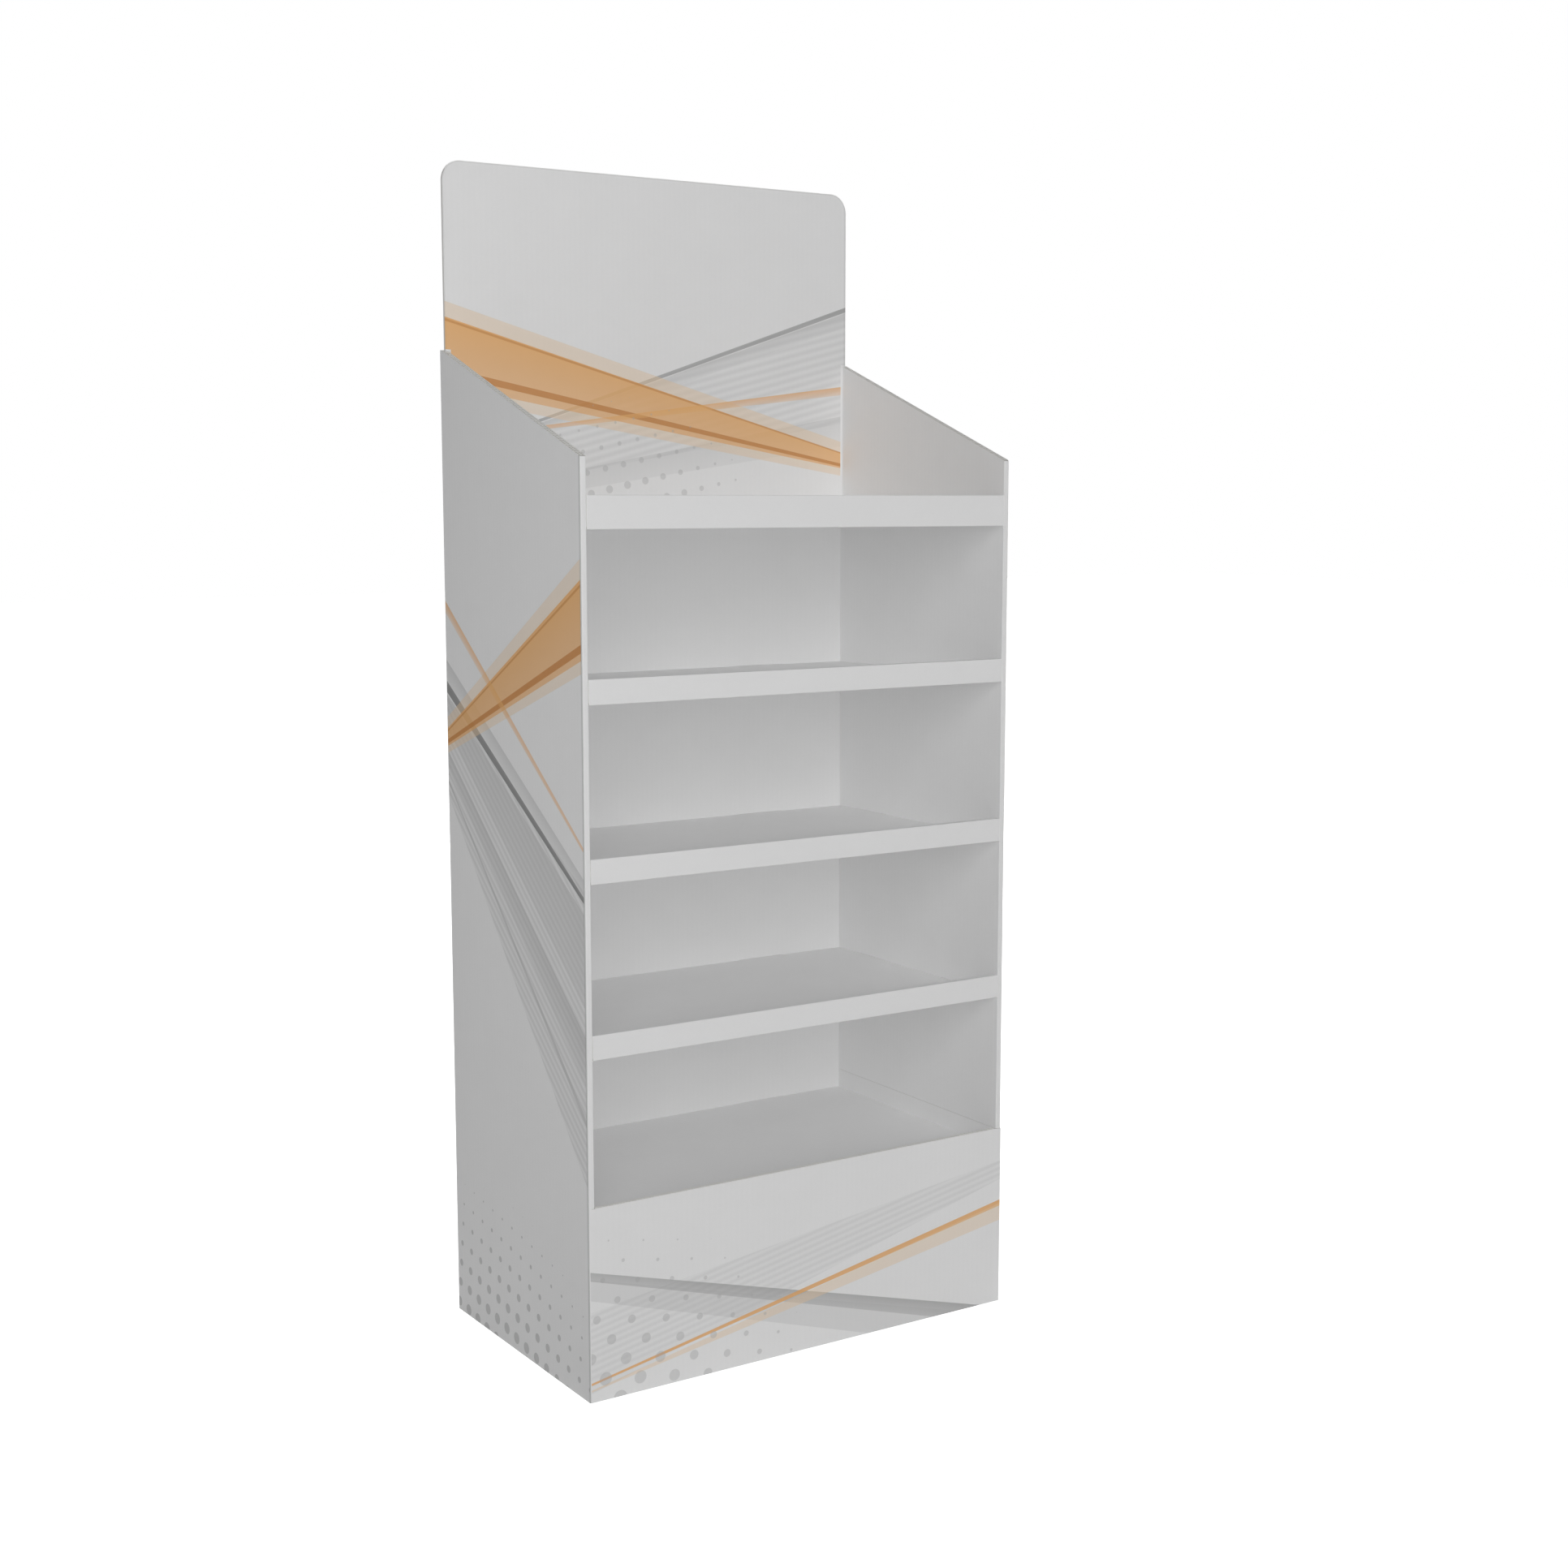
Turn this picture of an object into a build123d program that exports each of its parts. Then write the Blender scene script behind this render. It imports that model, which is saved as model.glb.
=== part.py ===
from build123d import *
import os

# Cardboard floor display stand. Millimetres, +Z up, origin on the floor under the middle of the stand.
# The open front faces -Y, and X runs across the width.

# Board
BOARD = 3.8  # thickness of the corrugated board
PLY_GAP = 0.4  # air between two plies of one folded sheet, and width of a knife cut in it
FIT = 0.3  # air between one piece and the piece or slot that holds it
BODY_FOLD_RADIUS = 2.4  # outside of the large folds at the body's corners
TIGHT_FOLD_RADIUS = 1.0  # outside of the narrow folds on lips and front edges

# Body
WIDTH = 600.0
DEPTH = 360.0
SIDE_FRONT_TOP = 1082.0  # where the sloped top of a side starts, at the front
SIDE_BACK_TOP = 1215.0  # top of the back panel, where the slopes end
GLUE_FLAP = 60.0  # flap of the right side that is glued behind the plinth front

# Shelves, from the floor up
BASE_DECK = 206.0  # height of the lowest deck's upper face
SHELF_PITCH = 202.0
TOP_DECK = 1006.0
LIP_RISE = 25.2  # lip above its deck, and the plinth front above the lowest deck
TOP_LIP_RISE = 34.0
BACK_FLANGE = 22.0  # flange turned down along the rear edge of the shelves under the top one
SIDE_TAB = 60.0
SIDE_TAB_SPACING = 190.0
BACK_TAB = 70.0
BACK_TAB_SPACING = 320.0
LIP_TONGUE = 50.0  # tongue that locks the rolled-over lip in the deck
LIP_TONGUE_SPACING = 200.0
LIP_TONGUE_COUNT = 3
TAB_CHAMFER = 1.2

# Header
HEADER_TOP = 1441.0
HEADER_RADIUS = 24.0

# Ribs under the lowest deck
RIB_ROWS = 2
RIB_ROW_SPACING = 170.0
RIB_COLUMNS = 3
RIB_COLUMN_SPACING = 190.0

# Planes that the pieces share
HALF_WIDTH = WIDTH / 2
FRONT = -DEPTH / 2
BACK = DEPTH / 2
WALL = 2 * BOARD + PLY_GAP  # a side's outer panel and liner together
LINER_FACE = HALF_WIDTH - WALL
PANEL_FACE = HALF_WIDTH - BOARD  # inner face of a side's outer panel
BACK_FACE = BACK - BOARD
PLINTH_TOP = BASE_DECK + LIP_RISE
HEADER_REAR = BACK_FACE - FIT
HEADER_FRONT = HEADER_REAR - BOARD
DECK_REAR = BACK_FACE - FIT
TAB_END = PANEL_FACE - PLY_GAP / 2  # a side tab stops just short of the outer panel
SHELF_DECKS = {
    "shelf_lower": BASE_DECK + SHELF_PITCH,
    "shelf_middle": BASE_DECK + 2 * SHELF_PITCH,
    "shelf_upper": BASE_DECK + 3 * SHELF_PITCH,
    "shelf_top": TOP_DECK,
}


def sheet_section(path, radii):
    """Section of a board folded at right angles, with the board to the right of the path.

    path holds the corners of one face of the board, and radii the outer radius of each fold.
    """
    points = [Vector(*point) for point in path]
    runs = [(end - start).normalized() for start, end in zip(points, points[1:])]
    across = [Vector(run.Y, -run.X) * BOARD for run in runs]
    offsets = [across[0]] + [a + b for a, b in zip(across, across[1:])] + [across[-1]]
    other_face = [point + offset for point, offset in zip(points, offsets)]
    section = make_face(Polyline(*points, *reversed(other_face), close=True))
    for fold, radius in enumerate(radii, start=1):
        turns_left = runs[fold - 1].cross(runs[fold]).Z > 0
        crest = other_face[fold] if turns_left else points[fold]
        corner = section.vertices().sort_by_distance(crest)[0]
        section = fillet(corner, radius)
    return section


def block(x_range, y_range, z_range):
    """A box between two values on each axis."""
    low = (x_range[0], y_range[0], z_range[0])
    size = (x_range[1] - x_range[0], y_range[1] - y_range[0], z_range[1] - z_range[0])
    return Pos(*low) * Box(*size, align=(Align.MIN, Align.MIN, Align.MIN))


def spread(count, spacing):
    """Places of copies, evenly spaced about zero."""
    return [(i - (count - 1) / 2) * spacing for i in range(count)]


def slot_heights(deck):
    """Lower and upper edge of a slot that takes a tab of a deck."""
    return deck - BOARD - FIT, deck + FIT


def body_wrap():
    """One folded sheet: back, sides with their liners rolled in, and the plinth front.

    The left side, the plinth front and the left front edge are one surface round the left corner.
    The plinth front ends over the right side's corner, and a flap of that side is glued behind it.
    """
    liner_rear = BACK_FACE - PLY_GAP
    upper_path = [
        (-LINER_FACE, liner_rear),
        (-LINER_FACE, FRONT),
        (-HALF_WIDTH, FRONT),
        (-HALF_WIDTH, BACK),
        (HALF_WIDTH, BACK),
        (HALF_WIDTH, FRONT),
        (LINER_FACE, FRONT),
        (LINER_FACE, liner_rear),
    ]
    upper_radii = [TIGHT_FOLD_RADIUS] + 4 * [BODY_FOLD_RADIUS] + [TIGHT_FOLD_RADIUS]
    flap_front = FRONT + BOARD + PLY_GAP
    open_path = [
        (HALF_WIDTH, FRONT),
        (-HALF_WIDTH, FRONT),
        (-HALF_WIDTH, BACK),
        (HALF_WIDTH, BACK),
        (HALF_WIDTH, flap_front),
    ]
    flap_path = open_path + [(HALF_WIDTH - GLUE_FLAP, flap_front)]
    flap_top = BASE_DECK - BOARD - FIT
    upper = extrude(sheet_section(upper_path, upper_radii), SIDE_BACK_TOP - PLINTH_TOP)
    above_flap = extrude(sheet_section(open_path, 3 * [BODY_FOLD_RADIUS]), PLINTH_TOP - flap_top)
    base = extrude(sheet_section(flap_path, 4 * [BODY_FOLD_RADIUS]), flap_top)
    wrap = base + Pos(0, 0, flap_top) * above_flap + Pos(0, 0, PLINTH_TOP) * upper

    side_view = Polyline(
        (FRONT, 0),
        (FRONT, SIDE_FRONT_TOP),
        (BACK_FACE, SIDE_BACK_TOP),
        (BACK, SIDE_BACK_TOP),
        (BACK, 0),
        close=True,
    )
    wrap &= extrude(Plane.YZ * make_face(side_view), HALF_WIDTH, both=True)

    # The knife cut that frees the liners and the right front edge from the plinth front
    cut = (PLINTH_TOP, PLINTH_TOP + PLY_GAP)
    inside_panels = PANEL_FACE - PLY_GAP / 2
    wrap -= block((-inside_panels, inside_panels), (FRONT, liner_rear), cut)
    wrap -= block((inside_panels, HALF_WIDTH), (FRONT, flap_front), cut)

    for mirrored in (-1, 1):
        liner_ply = sorted((mirrored * LINER_FACE, mirrored * inside_panels))
        # The liner stands back from the back panel above the top deck, which leaves the header's channel
        wrap -= block(liner_ply, (HEADER_FRONT - FIT, BACK_FACE), (TOP_DECK, SIDE_BACK_TOP))
        for deck in SHELF_DECKS.values():
            for y in spread(2, SIDE_TAB_SPACING):
                reach = SIDE_TAB / 2 + FIT
                wrap -= block(liner_ply, (y - reach, y + reach), slot_heights(deck))

    for deck in [BASE_DECK, *SHELF_DECKS.values()]:
        for x in spread(2, BACK_TAB_SPACING):
            reach = BACK_TAB / 2 + FIT
            wrap -= block((x - reach, x + reach), (BACK_FACE, BACK), slot_heights(deck))
    return wrap


def tab(width, reach):
    """A die-cut tab that points along +Y from the origin, with its front corners cut off."""
    outline = Polyline(
        (-width / 2, 0),
        (-width / 2, reach - TAB_CHAMFER),
        (-width / 2 + TAB_CHAMFER, reach),
        (width / 2 - TAB_CHAMFER, reach),
        (width / 2, reach - TAB_CHAMFER),
        (width / 2, 0),
        close=True,
    )
    return extrude(make_face(outline), BOARD)


def back_tabs(deck):
    """The two tabs of a deck that go through the back panel, flush with its rear face."""
    root = DECK_REAR - BOARD
    one = tab(BACK_TAB, BACK - root)
    return [Pos(x, root, deck - BOARD) * one for x in spread(2, BACK_TAB_SPACING)]


def shelf(deck, lip_rise, back_flange):
    """A shelf of one sheet: deck, rolled-over front lip and the tabs that carry it.

    back_flange is the height of the flange turned down along its rear edge, or 0 for a plain edge.
    """
    underside = deck - BOARD
    lip_top = deck + lip_rise
    lip_rear = FRONT + WALL
    path = [
        (lip_rear, deck + PLY_GAP),
        (lip_rear, lip_top),
        (FRONT, lip_top),
        (FRONT, underside),
    ]
    if back_flange:
        path += [(DECK_REAR - BOARD, underside), (DECK_REAR - BOARD, underside - back_flange)]
    else:
        path += [(DECK_REAR, underside)]
    section = sheet_section([(y, z) for y, z in reversed(path)], (len(path) - 2) * [TIGHT_FOLD_RADIUS])
    half_length = LINER_FACE - FIT
    tray = extrude(Plane.YZ * section, half_length, both=True)

    # Where a tab is cut out of the rear flange, the flange is open under it
    if back_flange:
        opening = (DECK_REAR - BOARD, DECK_REAR), (underside - back_flange, underside)
        for x in spread(2, BACK_TAB_SPACING):
            tray -= block((x - BACK_TAB / 2, x + BACK_TAB / 2), *opening)
    tray += back_tabs(deck)

    side_tab = tab(SIDE_TAB, TAB_END - half_length)
    for y in spread(2, SIDE_TAB_SPACING):
        tray += Pos(half_length, y, underside) * Rot(0, 0, -90) * side_tab
        tray += Pos(-half_length, y, underside) * Rot(0, 0, 90) * side_tab

    # Tongues of the lip's inner ply, through slots in the deck
    inner_ply = (lip_rear - BOARD, lip_rear)
    for x in spread(LIP_TONGUE_COUNT, LIP_TONGUE_SPACING):
        reach = LIP_TONGUE / 2
        slot = (x - reach - FIT, x + reach + FIT), (inner_ply[0] - PLY_GAP / 2, inner_ply[1] + PLY_GAP / 2)
        tray -= block(*slot, (underside, deck))
        tray += block((x - reach, x + reach), inner_ply, (underside, deck + PLY_GAP))
    return tray


def base_tray():
    """The lowest deck, with flanges turned up at the front and sides, flush with what they continue."""
    underside = BASE_DECK - BOARD
    half_length = PANEL_FACE - FIT
    front = FRONT + BOARD + FIT
    side_front = front + BOARD + PLY_GAP
    across = [
        (-half_length, PLINTH_TOP),
        (-half_length, underside),
        (half_length, underside),
        (half_length, PLINTH_TOP),
    ]
    along = [(front, PLINTH_TOP), (front, underside), (DECK_REAR, underside)]
    side_section = sheet_section(across[::-1], 2 * [TIGHT_FOLD_RADIUS])
    front_section = sheet_section(along[::-1], [TIGHT_FOLD_RADIUS])
    tray = extrude(Plane.XZ.offset(-DECK_REAR) * side_section, DECK_REAR - side_front)
    tray += extrude(Plane.YZ * front_section, half_length, both=True)
    tray += back_tabs(BASE_DECK)
    return tray


def header_panel():
    """The header board, which slides down behind the liners and stands on the top deck."""
    half_length = PANEL_FACE - FIT
    foot = TOP_DECK + FIT
    outline = make_face(
        Polyline(
            (-half_length, foot),
            (-half_length, HEADER_TOP),
            (half_length, HEADER_TOP),
            (half_length, foot),
            close=True,
        )
    )
    top_corners = outline.vertices().group_by(Axis.Y)[-1]
    return extrude(Plane.XZ.offset(-HEADER_REAR) * fillet(top_corners, HEADER_RADIUS), BOARD)


def rib_blank(length):
    """A board on edge along X, from the floor to just under the lowest deck."""
    height = BASE_DECK - BOARD - FIT
    return block((-length / 2, length / 2), (-BOARD / 2, BOARD / 2), (0, height)), height


def cross_slots(places, z_range):
    """Half-lap slots in a rib, one board wide."""
    reach = BOARD / 2 + FIT
    return [block((x - reach, x + reach), (-BOARD, BOARD), z_range) for x in places]


def long_rib(y):
    """A rib across the width, slotted from its upper edge."""
    blank, height = rib_blank(2 * (PANEL_FACE - FIT))
    slots = cross_slots(spread(RIB_COLUMNS, RIB_COLUMN_SPACING), (height / 2 - FIT / 2, height))
    return Pos(0, y, 0) * (blank - slots)


def cross_rib(x):
    """A rib from front to back, slotted from its lower edge."""
    plinth_face = FRONT + BOARD
    blank, height = rib_blank(BACK_FACE - plinth_face - 2 * FIT)
    slots = cross_slots(spread(RIB_ROWS, RIB_ROW_SPACING), (0, height / 2 + FIT / 2))
    return Pos(x, (plinth_face + BACK_FACE) / 2, 0) * Rot(0, 0, 90) * (blank - slots)


def build():
    """Every piece of the stand by its name."""
    pieces = {"body_wrap": body_wrap(), "header_panel": header_panel(), "base_tray": base_tray()}
    for name, deck in SHELF_DECKS.items():
        is_top = name == "shelf_top"
        pieces[name] = shelf(deck, TOP_LIP_RISE if is_top else LIP_RISE, 0 if is_top else BACK_FLANGE)
    for name, y in zip(("base_rib_front", "base_rib_rear"), spread(RIB_ROWS, RIB_ROW_SPACING)):
        pieces[name] = long_rib(y)
    names = ("base_rib_left", "base_rib_middle", "base_rib_right")
    for name, x in zip(names, spread(RIB_COLUMNS, RIB_COLUMN_SPACING)):
        pieces[name] = cross_rib(x)
    return pieces


os.makedirs("parts", exist_ok=True)
for piece_name, piece in build().items():
    export_step(piece, f"parts/{piece_name}.step")
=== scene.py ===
"""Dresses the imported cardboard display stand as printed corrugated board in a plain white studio."""

import logging
import math
from collections.abc import Callable
from dataclasses import dataclass
from enum import Enum

import bmesh
import bpy
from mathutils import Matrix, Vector

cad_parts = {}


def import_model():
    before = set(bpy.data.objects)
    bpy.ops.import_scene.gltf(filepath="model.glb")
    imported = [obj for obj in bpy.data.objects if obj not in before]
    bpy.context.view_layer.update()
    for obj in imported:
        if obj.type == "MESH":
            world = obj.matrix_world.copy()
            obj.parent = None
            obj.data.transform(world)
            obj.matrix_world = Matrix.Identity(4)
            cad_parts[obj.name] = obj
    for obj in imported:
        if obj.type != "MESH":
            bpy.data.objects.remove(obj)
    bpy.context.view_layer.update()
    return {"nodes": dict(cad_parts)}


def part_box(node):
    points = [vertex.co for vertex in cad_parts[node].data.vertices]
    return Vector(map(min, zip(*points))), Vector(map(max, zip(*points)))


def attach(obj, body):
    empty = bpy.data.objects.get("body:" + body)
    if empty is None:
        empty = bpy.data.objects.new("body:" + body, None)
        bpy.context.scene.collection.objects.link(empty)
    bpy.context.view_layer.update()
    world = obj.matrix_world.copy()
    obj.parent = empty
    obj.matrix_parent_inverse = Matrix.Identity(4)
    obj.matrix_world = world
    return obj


LOG = logging.getLogger("display_stand")
MM = 0.001
WHITE = (1.0, 1.0, 1.0, 1.0)

# Lengths in millimetres, as all lengths are that don't name another unit
PLY_GAP = 0.4  # air between the two plies of the folded body
ON_FACE = 0.1  # how near to a face a place counts as on it
FACE_BLUR = 0.02  # the soft step at that limit
INK_EDGE = 0.7  # the soft edge of a printed mark

# Shares of 1
FACING = 0.9  # the least that a normal points along an axis where a face looks that way
TURNED = 0.5  # the share of a normal along an axis that parts a sheet's faces from its cut edges
PAPER_SHINE = 0.3  # the specular level of paper and ink
LINE_DEPTH = 0.35  # how far the fine lines in a beam swing about its ink

Colour = tuple[float, float, float]
Point2 = tuple[float, float]
Socket = bpy.types.NodeSocket


class Ink(Enum):
    """The inks of the print, as linear colours on white board."""

    ORANGE = (0.840, 0.460, 0.175)
    PALE_ORANGE = (0.860, 0.640, 0.410)
    DEEP_ORANGE = (0.560, 0.215, 0.048)
    MIST = (0.560, 0.560, 0.560)
    GREY = (0.450, 0.450, 0.450)
    DARK_GREY = (0.250, 0.250, 0.250)


@dataclass(frozen=True)
class Extent:
    """The box of a node at rest."""

    low: Vector
    high: Vector

    @classmethod
    def of(cls, node: str) -> "Extent":
        """Measures a node of the frame."""
        low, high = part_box(node)
        return cls(low / MM, high / MM)

    @property
    def middle(self) -> Vector:
        """Returns the box's middle."""
        return (self.low + self.high) / 2


class Signal:
    """A number that varies over a surface, so that a pattern can be written as a formula."""

    def __init__(self, sketch: "Sketch", socket: Socket) -> None:
        """Keeps the socket that carries the number.

        Args:
            sketch: the material that the number belongs to.
            socket: the output socket with the number.
        """
        self.sketch = sketch
        self.socket = socket

    def __add__(self, other: "Signal | float") -> "Signal":
        """Returns the sum."""
        return self.sketch.math("ADD", self, other)

    def __sub__(self, other: "Signal | float") -> "Signal":
        """Returns the difference."""
        return self.sketch.math("SUBTRACT", self, other)

    def __rsub__(self, other: float) -> "Signal":
        """Returns the difference, the other way round."""
        return self.sketch.math("SUBTRACT", other, self)

    def __mul__(self, other: "Signal | float") -> "Signal":
        """Returns the product."""
        return self.sketch.math("MULTIPLY", self, other)

    def __abs__(self) -> "Signal":
        """Returns the size without its sign."""
        return self.sketch.math("ABSOLUTE", self)

    def above(self, limit: float, blur: float = 0.05) -> "Signal":
        """Returns 1 above a limit and 0 below it, with a soft step of the blur's width."""
        return self.sketch.ramp(self, limit - blur / 2, limit + blur / 2)

    def below(self, limit: float, blur: float = 0.05) -> "Signal":
        """Returns 1 below a limit and 0 above it, with a soft step of the blur's width."""
        return self.sketch.ramp(self, limit + blur / 2, limit - blur / 2)

    def maximum(self, other: "Signal | float") -> "Signal":
        """Returns the larger of the two."""
        return self.sketch.math("MAXIMUM", self, other)

    def minimum(self, other: "Signal | float") -> "Signal":
        """Returns the smaller of the two."""
        return self.sketch.math("MINIMUM", self, other)

    def floor(self) -> "Signal":
        """Returns the whole number at or below it."""
        return self.sketch.math("FLOOR", self)

    def diagonal(self, other: "Signal") -> "Signal":
        """Returns the length of a step that goes this far one way and the other's length across it."""
        return self.sketch.math("SQRT", self * self + other * other)

    def wave(self, length: float) -> "Signal":
        """Returns a sine from -1 to 1 that repeats after a length."""
        return self.sketch.math("SINE", self * (2 * math.pi / length))

    def choose(self, yes: "Signal", no: "Signal") -> "Signal":
        """Returns one signal where this one is 1, and the other where it is 0."""
        return yes * self + no * (1.0 - self)


class Sketch:
    """One material in the making: its node tree, and the few moves that its patterns need."""

    def __init__(self, name: str) -> None:
        """Starts a material with a Principled shader and the object's own coordinates.

        Args:
            name: the material's name.
        """
        self.material = bpy.data.materials.new(name)
        self.material.use_nodes = True
        self.nodes = self.material.node_tree.nodes
        self.links = self.material.node_tree.links
        self.nodes.clear()
        self.shader = self.nodes.new("ShaderNodeBsdfPrincipled")
        output = self.nodes.new("ShaderNodeOutputMaterial")
        self.links.new(self.shader.outputs["BSDF"], output.inputs["Surface"])
        place = self.nodes.new("ShaderNodeTexCoord")
        self.place = place.outputs["Object"]
        self.x, self.y, self.z = (axis * (1 / MM) for axis in self.split(self.place))
        self.nx, self.ny, self.nz = self.split(place.outputs["Normal"])

    def split(self, vector: Socket) -> tuple[Signal, Signal, Signal]:
        """Returns a vector's three numbers."""
        node = self.nodes.new("ShaderNodeSeparateXYZ")
        self.links.new(vector, node.inputs[0])
        return tuple(Signal(self, socket) for socket in node.outputs)

    def math(self, operation: str, *terms: Signal | float) -> Signal:
        """Adds one sum of the formula.

        Args:
            operation: Blender's name for the operation.
            terms: its terms, numbers or signals.

        Returns:
            The result.
        """
        node = self.nodes.new("ShaderNodeMath")
        node.operation = operation
        for socket, term in zip(node.inputs, terms):
            self.feed(socket, term)
        return Signal(self, node.outputs[0])

    def feed(self, socket: Socket, term: Signal | float) -> None:
        """Links a signal to a socket, or sets the socket to a number."""
        if isinstance(term, Signal):
            self.links.new(term.socket, socket)
        else:
            socket.default_value = term

    def ramp(self, signal: Signal, start: float, end: float) -> Signal:
        """Returns 0 at the start and 1 at the end, with a smooth step between them, up or down."""
        node = self.nodes.new("ShaderNodeMapRange")
        node.interpolation_type = "SMOOTHSTEP"
        self.feed(node.inputs["Value"], signal)
        node.inputs["From Min"].default_value = min(start, end)
        node.inputs["From Max"].default_value = max(start, end)
        node.inputs["To Min"].default_value = float(start > end)
        node.inputs["To Max"].default_value = float(start < end)
        return Signal(self, node.outputs["Result"])

    def colour(self, value: Colour) -> Socket:
        """Returns a socket with a fixed colour, the ground of a pattern."""
        node = self.nodes.new("ShaderNodeRGB")
        node.outputs[0].default_value = (*value, 1.0)
        return node.outputs[0]

    def mix(self, share: Signal, under: Socket, over: Socket | Colour) -> Socket:
        """Lays one colour over another.

        Args:
            share: how much of the upper colour shows.
            under: the colour beneath.
            over: the colour on top.

        Returns:
            The mixed colour.
        """
        node = self.nodes.new("ShaderNodeMix")
        node.data_type = "RGBA"
        self.feed(node.inputs["Factor"], share)
        self.links.new(under, node.inputs["A"])
        if isinstance(over, tuple):
            node.inputs["B"].default_value = (*over, 1.0)
        else:
            self.links.new(over, node.inputs["B"])
        return node.outputs["Result"]

    def tone(self, colour: Socket, amount: Signal) -> Socket:
        """Returns the colour made lighter or darker by a factor."""
        node = self.nodes.new("ShaderNodeVectorMath")
        node.operation = "SCALE"
        self.links.new(colour, node.inputs[0])
        self.feed(node.inputs["Scale"], amount)
        return node.outputs[0]

    def finish(self, colour: Socket, roughness: Signal, height: Signal) -> bpy.types.Material:
        """Joins colour, roughness and relief to the shader.

        Args:
            colour: the base colour.
            roughness: the roughness.
            height: the relief.

        Returns:
            The finished material.
        """
        bump = self.nodes.new("ShaderNodeBump")
        bump.inputs["Distance"].default_value = MM
        self.feed(bump.inputs["Height"], height)
        self.links.new(bump.outputs["Normal"], self.shader.inputs["Normal"])
        self.links.new(colour, self.shader.inputs["Base Color"])
        self.feed(self.shader.inputs["Roughness"], roughness)
        self.shader.inputs["Specular IOR Level"].default_value = PAPER_SHINE
        return self.material


@dataclass(frozen=True)
class Grain:
    """Fractal noise on a surface: the size of its largest spots, its range, and its finer layers."""

    size: float
    amount: float
    detail: float = 3.0

    def on(self, sketch: Sketch) -> Signal:
        """Returns the noise, from 0 to its amount."""
        node = sketch.nodes.new("ShaderNodeTexNoise")
        node.inputs["Scale"].default_value = 1.0 / (self.size * MM)
        node.inputs["Detail"].default_value = self.detail
        sketch.links.new(sketch.place, node.inputs["Vector"])
        return Signal(sketch, node.outputs["Fac"]) * self.amount


@dataclass(frozen=True)
class Face:
    """A printed face: the place along it from its middle, the height, and half its length."""

    u: Signal
    v: Signal
    half_span: float


@dataclass(frozen=True)
class Beam:
    """A straight tapering bar of the print, which crosses its whole face.

    heights and widths are those at the face's left and right end. fade is how unevenly the ink lies across
    the bar, and lines the pitch of the fine lines in it; 0 leaves either out.
    """

    heights: Point2
    widths: Point2
    ink: Ink
    strength: float
    fade: float = 0.0
    lines: float = 0.0

    def cover(self, face: Face) -> Signal:
        """Works out how much ink the bar lays at each place.

        Args:
            face: the face that it crosses.

        Returns:
            The share of ink, 0 to its strength.
        """
        u, v = face.u, face.v
        start = Vector((-face.half_span, self.heights[0]))
        run = Vector((face.half_span, self.heights[1])) - start
        along_u, along_v = run.normalized()
        across = u * -along_v + v * along_u + (start.x * along_v - start.y * along_u)
        along = (u * along_u + v * along_v - start.dot(run.normalized())) * (1 / run.length)
        half = along * ((self.widths[1] - self.widths[0]) / 2) + self.widths[0] / 2
        share = (abs(across) - half).below(0.0, INK_EDGE) * self.strength
        if self.fade:
            share = share * (across * (self.fade / max(self.widths)) + (1 - self.fade / 2))
        if self.lines:
            share = share * (across.wave(self.lines) * LINE_DEPTH + (1 - LINE_DEPTH))
        return share


@dataclass(frozen=True)
class DotFade:
    """A field of round dots, turned by an angle in degrees, that shrink away from one corner.

    radius is a dot's size at the corner, and reach the distance at which it would come to nothing. The dots
    fade out where they get to the smallest radius, in a soft step.
    """

    corner: Point2
    reach: float
    pitch: float
    radius: float
    angle: float
    ink: Ink
    strength: float
    smallest: float = 0.6
    smallest_blur: float = 0.4

    def cover(self, face: Face) -> Signal:
        """Works out how much ink the dots lay at each place.

        Args:
            face: the face that they lie on.

        Returns:
            The share of ink, 0 to their strength.
        """
        cos, sin = math.cos(math.radians(self.angle)), math.sin(math.radians(self.angle))
        p = (face.u * cos + face.v * sin) * (1 / self.pitch)
        q = (face.v * cos - face.u * sin) * (1 / self.pitch)
        middle_p, middle_q = p.floor() + 0.5, q.floor() + 0.5
        from_middle = (p - middle_p).diagonal(q - middle_q) * self.pitch
        middle_u = (middle_p * cos - middle_q * sin) * self.pitch
        middle_v = (middle_p * sin + middle_q * cos) * self.pitch
        away = (middle_u - self.corner[0]).diagonal(middle_v - self.corner[1])
        radius = (1.0 - away * (1 / self.reach)).maximum(0.0) * self.radius
        shown = radius.above(self.smallest, self.smallest_blur)
        return (from_middle - radius).below(0.0, INK_EDGE) * shown * self.strength


@dataclass(frozen=True)
class Artwork:
    """The print of one face: straight bars and fading dots, laid one over the other."""

    marks: tuple[Beam | DotFade, ...]

    def lay(self, sketch: Sketch, ground: Socket, face: Face, where: Signal) -> Socket:
        """Prints the marks on the ground colour, only where the mask allows.

        Args:
            sketch: the material it is drawn in.
            ground: the colour of the bare board.
            face: the face that the marks lie on.
            where: 1 on the printed face, 0 elsewhere.

        Returns:
            The printed colour.
        """
        colour = ground
        for mark in self.marks:
            colour = sketch.mix(mark.cover(face), colour, mark.ink.value)
        return sketch.mix(where, ground, colour)


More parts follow.
